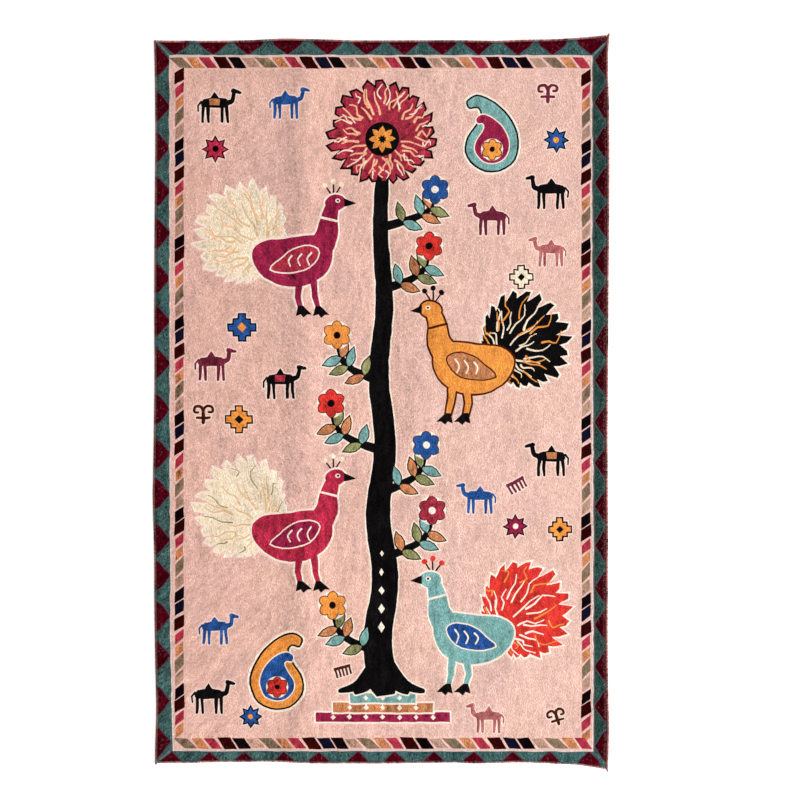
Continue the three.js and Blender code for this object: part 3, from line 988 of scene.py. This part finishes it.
LENGTHWISE_STRIPS = 5
TUFT_FACES = np.array([(0, 1, 3), (1, 2, 3), (2, 0, 3), (2, 1, 0)])
TUFT_ON_MAP = np.vstack([0.45 * TUFT_PITCH * heading(THIRDS), (0, 0)])
strip_edges = np.linspace(tuft[0].min(), tuft[0].max() + 1, LENGTHWISE_STRIPS + 1)
strip = np.searchsorted(strip_edges, tuft[0], "right") - 1
for number in range(LENGTHWISE_STRIPS):
    own = np.nonzero(strip == number)[0]
    mesh = bpy.data.meshes.new(f"pile_{number + 1}")
    faces = (TUFT_FACES + 4 * np.arange(len(own))[:, None, None]).reshape(-1, 3)
    mesh.from_pydata(tufts[own].reshape(-1, 3).tolist(), [], faces.tolist())
    mesh.polygons.foreach_set("use_smooth", np.ones(len(faces), bool))
    keep_dyes(mesh, "POINT", tuft_dyes[own].reshape(-1, 3))
    on_map = (cells[:, own].T[:, None] + TUFT_ON_MAP).reshape(-1, 2)
    on_map = (on_map - on_map.min(0)) / (on_map.max(0) - on_map.min(0))
    keep_map(mesh, on_map[faces.ravel()])
    mesh.normals_split_custom_set_from_vertices(np.repeat(normal[own], 4, axis=0).tolist())
    piece = finished(mesh, plush)

# Overlocked edge
# The raw edge is bound on an overlock machine. Thread wraps the printed edge, stitch beside stitch, and a
# needle thread holds the wraps along their inner line. At three corners the chain of dark thread was cut
# off a little past the cloth.
STITCH_PITCH = 4.0
THREAD_HEIGHT = 0.8
NEEDLE_HALF_LENGTH = 1.3
NEEDLE_HALF_WIDTH = 0.55
CORE_STEP = 12
# Section of the bound edge: share of its width in from the outer side, share of its height
CORE_SECTION = [(1, 0.03), (0.3, 0.03), (0.1, 0.3), (0.1, 0.6), (0.35, 0.84), (1, 0.88)]
# One wrap: share of the width in, share of the height, and how far it has moved along the edge
WRAP = [(1.3, 1.08, 0.0), (0.75, 1.04, 1.2), (0.12, 0.86, 2.4), (0.0, 0.4, 3.2), (0.3, 0.05, 3.8)]
# How far the thread's own dye hides the printed fibres that it is bound into, ring by ring
THREAD_SHOWS = np.array([0.2, 0.55, 0.9, 1.0, 1.0])
CHAIN_COLOUR = "#3d2a2e"
# Tails: distance past the corner, drift to the right, size of the thread
LONG_TAIL = [(0, 0, 1), (1.5, -0.1, 0.72), (4, 0.5, 0.5), (6.5, 1.5, 0.42), (8, 2.3, 0.2)]
SHORT_TAIL = [(0, 0, 1), (2, 0.4, 0.6), (4.5, 1, 0.25)]
NO_TAIL = [(0, 0, 1)]
SIDE_HALF = RUG_LENGTH / 2
END_HALF = RUG_WIDTH / 2 - RIM_INSET
RUNS = [
    # node, runs up the rug, which side, half length, tail at its start, tail at its end, half width of a
    # wrap, its dye, the needle thread's dye, how well the thread covers the print. The dyes hold painted
    # light
    # and shade: the one thread is painted darker on the left, in the shade of the light from the right, and
    # palest on the right, which faces that light.
    ("overlock_right", True, 1, SIDE_HALF, LONG_TAIL, LONG_TAIL, 1.35, "#ffb2a8", "#d89a90", 0.95),
    ("overlock_left", True, -1, SIDE_HALF, SHORT_TAIL, NO_TAIL, 1.45, "#a87064", "#a8786c", 0.85),
    ("overlock_top", False, 1, END_HALF, NO_TAIL, NO_TAIL, 1.25, "#ffb4ae", "#a88480", 0.85),
    ("overlock_bottom", False, -1, END_HALF, NO_TAIL, NO_TAIL, 1.25, "#fac4bc", "#a88a86", 0.85),
]

MIDDLE = np.array([0.62 * OVERLOCK_WIDTH, 0.45 * OVERLOCK_HEIGHT])
TAIL_MIDDLE = 0.59 * OVERLOCK_WIDTH
NEEDLE_IN = 1.35 * OVERLOCK_WIDTH
NEEDLE_UP = 1.14 * OVERLOCK_HEIGHT
NEEDLE_HEIGHT = 0.6
# Painted shade: the bound edge under the wraps is painted darker than the print, as little light gets under
# them.
PAINTED_CORE_SHADE = 0.8
# The pieces' map: the bound edge, the wraps and the needle thread from left to right
MAP_SHARES = (0, 0.1, 0.75, 1)
MAP_COLUMNS = 25


def on_edge(run, along, inward, height):
    """Points on a run, by how far along, in from its outer side and up. A tail narrows to its end."""
    _, upright, sign, half, start_tail, end_tail, *_ = run
    on_cloth = np.clip(along, -half, half)
    if upright:
        x, y = rug_point(sign * (RUG_WIDTH / 2 - inward), on_cloth)
        middle, _ = rug_point(sign * (RUG_WIDTH / 2 - TAIL_MIDDLE), on_cloth)
        past = np.abs(along - on_cloth)
        for tail, there in ((start_tail, along < -half), (end_tail, along > half)):
            places, drifts, sizes = np.array(tail, float).T
            size = np.interp(past, places, sizes)
            x = np.where(there, middle + np.interp(past, places, drifts) + (x - middle) * size, x)
            height = np.where(there, height * size, height)
        y = y + along - on_cloth
    else:
        x, y = rug_point(on_cloth, sign * (RUG_LENGTH / 2 - inward))
    return np.stack(np.broadcast_arrays(x, y, height), axis=-1)


def tubes_of(rings, first, left, right, columns):
    """Tubes with closed ends from an array of tubes, rings and points: their faces, numbered from first,
    and a place on the map for each point. Every tube has a cell of its own, with its rings in order."""
    tubes, length, around, _ = rings.shape
    tube = np.arange(tubes)[:, None, None]
    ring = np.arange(length)[:, None]
    one = np.arange(around)
    low = first + tube * length * around + ring[:-1] * around
    after = low + (one + 1) % around
    walls = np.stack([low + one, after, after + around, low + one + around], axis=-1)
    faces = [*walls.reshape(-1, 4).tolist(), *(low[:, 0] + one[::-1]).tolist(),
             *(low[:, -1] + around + one).tolist()]
    across = one / (around - 1)
    bulge = 0.12 * ((ring == length - 1) * 1 - (ring == 0)) * np.sin(math.pi * across)
    u = (tube % columns + 0.15 + 0.7 * across + 0 * ring) / columns
    v = (tube // columns + 0.2 + 0.6 * ring / (length - 1) + bulge) / -(-tubes // columns)
    return faces, np.stack([left + (right - left) * u, v], axis=-1).reshape(-1, 2)


# Overlock thread: fluffy textured polyester, nearly matt, every stitch its own shade. Its curled filaments
# show as flecks, drawn 0.8 mm large so that they show from close by.
thread = dyed_fibres("polyester_overlock_thread", 0.65, 0.15, fleck=(0.8, 0.8, 0.8), contrast=0.25)

share, up, forward = np.array(WRAP).T
wrap_in = share * OVERLOCK_WIDTH
wrap_up = up * OVERLOCK_HEIGHT
outwards = np.column_stack([wrap_in, wrap_up]) - MIDDLE
outwards *= THREAD_HEIGHT / np.hypot(*outwards.T)[:, None]
across = np.array([-1, 0, 1])
on_top = np.array([0, 1, 0])
needle_along = np.array([[-1], [-0.4], [0.4], [1]]) * NEEDLE_HALF_LENGTH
needle_size = np.array([[0.3], [1], [1], [0.3]])
core_in, core_up = np.array(CORE_SECTION).T * [[OVERLOCK_WIDTH], [OVERLOCK_HEIGHT]]
for run in RUNS:
    name, upright, sign, half, start_tail, end_tail, half_width, wrap_colour, needle_colour, cover = run
    stations = np.unique(np.concatenate([
        np.linspace(-half, half, round(2 * half / CORE_STEP)),
        [-half - past for past, _, _ in start_tail], [half + past for past, _, _ in end_tail],
    ]))
    core = on_edge(run, stations[:, None], core_in, core_up)

    stitches = np.arange(-half - start_tail[-1][0], half + end_tail[-1][0] - 1.5, STITCH_PITCH)
    stitches = stitches + 0.35 * random.uniform(-1, 1, len(stitches))
    wraps = on_edge(run, stitches[:, None, None] + forward[:, None] - 2 + across * half_width,
                    wrap_in[:, None] + on_top * outwards[:, :1],
                    np.maximum(wrap_up[:, None] + on_top * outwards[:, 1:], 0))

    holds = stitches[:-1] + STITCH_PITCH / 2
    holds = holds[np.abs(holds) < half - 2]
    needle = on_edge(run, holds[:, None, None] + needle_along,
                     NEEDLE_IN + NEEDLE_HALF_WIDTH * needle_size * across,
                     NEEDLE_UP + NEEDLE_HEIGHT * needle_size * on_top)

    paleness = (cover + 0.9 * soft_noise(stitches, 0 * stitches, 60, 71)
                + 0.35 * random.standard_normal(len(stitches)))
    share_of_thread = np.clip(paleness, 0.05, 1)[:, None, None, None] * THREAD_SHOWS[:, None, None]
    beneath = print_under(wraps)
    wrap_dyes = beneath + (linear(wrap_colour) - beneath) * share_of_thread
    wrap_dyes *= random.uniform(0.55, 1.35, len(stitches))[:, None, None, None]
    wrap_dyes[np.abs(stitches) > half - 1] = linear(CHAIN_COLOUR)
    needle_dyes = 0.5 * linear(needle_colour) + 0.5 * print_under(needle[:, 0, 0])
    needle_dyes *= random.uniform(0.7, 1.1, len(holds))[:, None]

    points = []
    faces = []
    dyes = []
    places = []
    for rings, own_dyes, left, right, columns in (
        (core[None], PAINTED_CORE_SHADE * print_under(core), *MAP_SHARES[:2], 1),
        (wraps, wrap_dyes, *MAP_SHARES[1:3], MAP_COLUMNS),
        (needle, needle_dyes, *MAP_SHARES[2:], MAP_COLUMNS),
    ):
        own_faces, own_places = tubes_of(rings, len(points), left, right, columns)
        points += rings.reshape(-1, 3).tolist()
        faces += own_faces
        own_dyes = own_dyes.reshape(-1, 3)
        dyes.append(np.repeat(own_dyes, rings.size // own_dyes.size, axis=0))
        places.append(own_places)
    mesh = bpy.data.meshes.new(f"{name}_thread")
    mesh.from_pydata(points, [], faces)
    work = bmesh.new()
    work.from_mesh(mesh)
    bmesh.ops.recalc_face_normals(work, faces=work.faces)
    for face in work.faces:
        face.smooth = True
    work.to_mesh(mesh)
    work.free()
    keep_dyes(mesh, "POINT", np.vstack(dyes))
    keep_map(mesh, np.vstack(places)[numbers_of(mesh.loops, "vertex_index", kind=np.int32)])
    piece = finished(mesh, thread)
    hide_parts(name)

# Studio
# A plain pale floor that glows a little, as a light table does, so that it shows no shadow, a soft light
# from the rug's right, and an even white surround.
FLOOR_HALF = 60.0
KEY_SIZE = 3.5
KEY_POWER = 1550
KEY_PLACE = Vector((8.6, -2.6, 7.6))
SURROUND_STRENGTH = 0.72
floor_mesh = bpy.data.meshes.new("floor")
work = bmesh.new()
bmesh.ops.create_grid(work, x_segments=1, y_segments=1, size=FLOOR_HALF)
work.to_mesh(floor_mesh)
work.free()
floor_paint, *_ = new_material("pale_floor_paint", {
    "Base Color": (*linear("#f7f7f6"), 1), "Roughness": 0.9, "Specular IOR Level": 0.1,
    "Emission Color": (1, 1, 1, 1), "Emission Strength": 0.35,
})
floor_mesh.materials.append(floor_paint)
floor = bpy.data.objects.new("floor", floor_mesh)
bpy.context.scene.collection.objects.link(floor)

key = bpy.data.lights.new("soft_key", "AREA")
key.size = KEY_SIZE
key.energy = KEY_POWER
key_object = bpy.data.objects.new("soft_key", key)
key_object.location = KEY_PLACE
key_object.rotation_euler = (-KEY_PLACE).to_track_quat("-Z", "Y").to_euler()
bpy.context.scene.collection.objects.link(key_object)
world = bpy.data.worlds.new("white_surround")
world.use_nodes = True
surround = world.node_tree.nodes["Background"]
surround.inputs["Color"].default_value = (1, 1, 1, 1)
surround.inputs["Strength"].default_value = SURROUND_STRENGTH
bpy.context.scene.world = world
bpy.context.scene.view_settings.view_transform = "Standard"
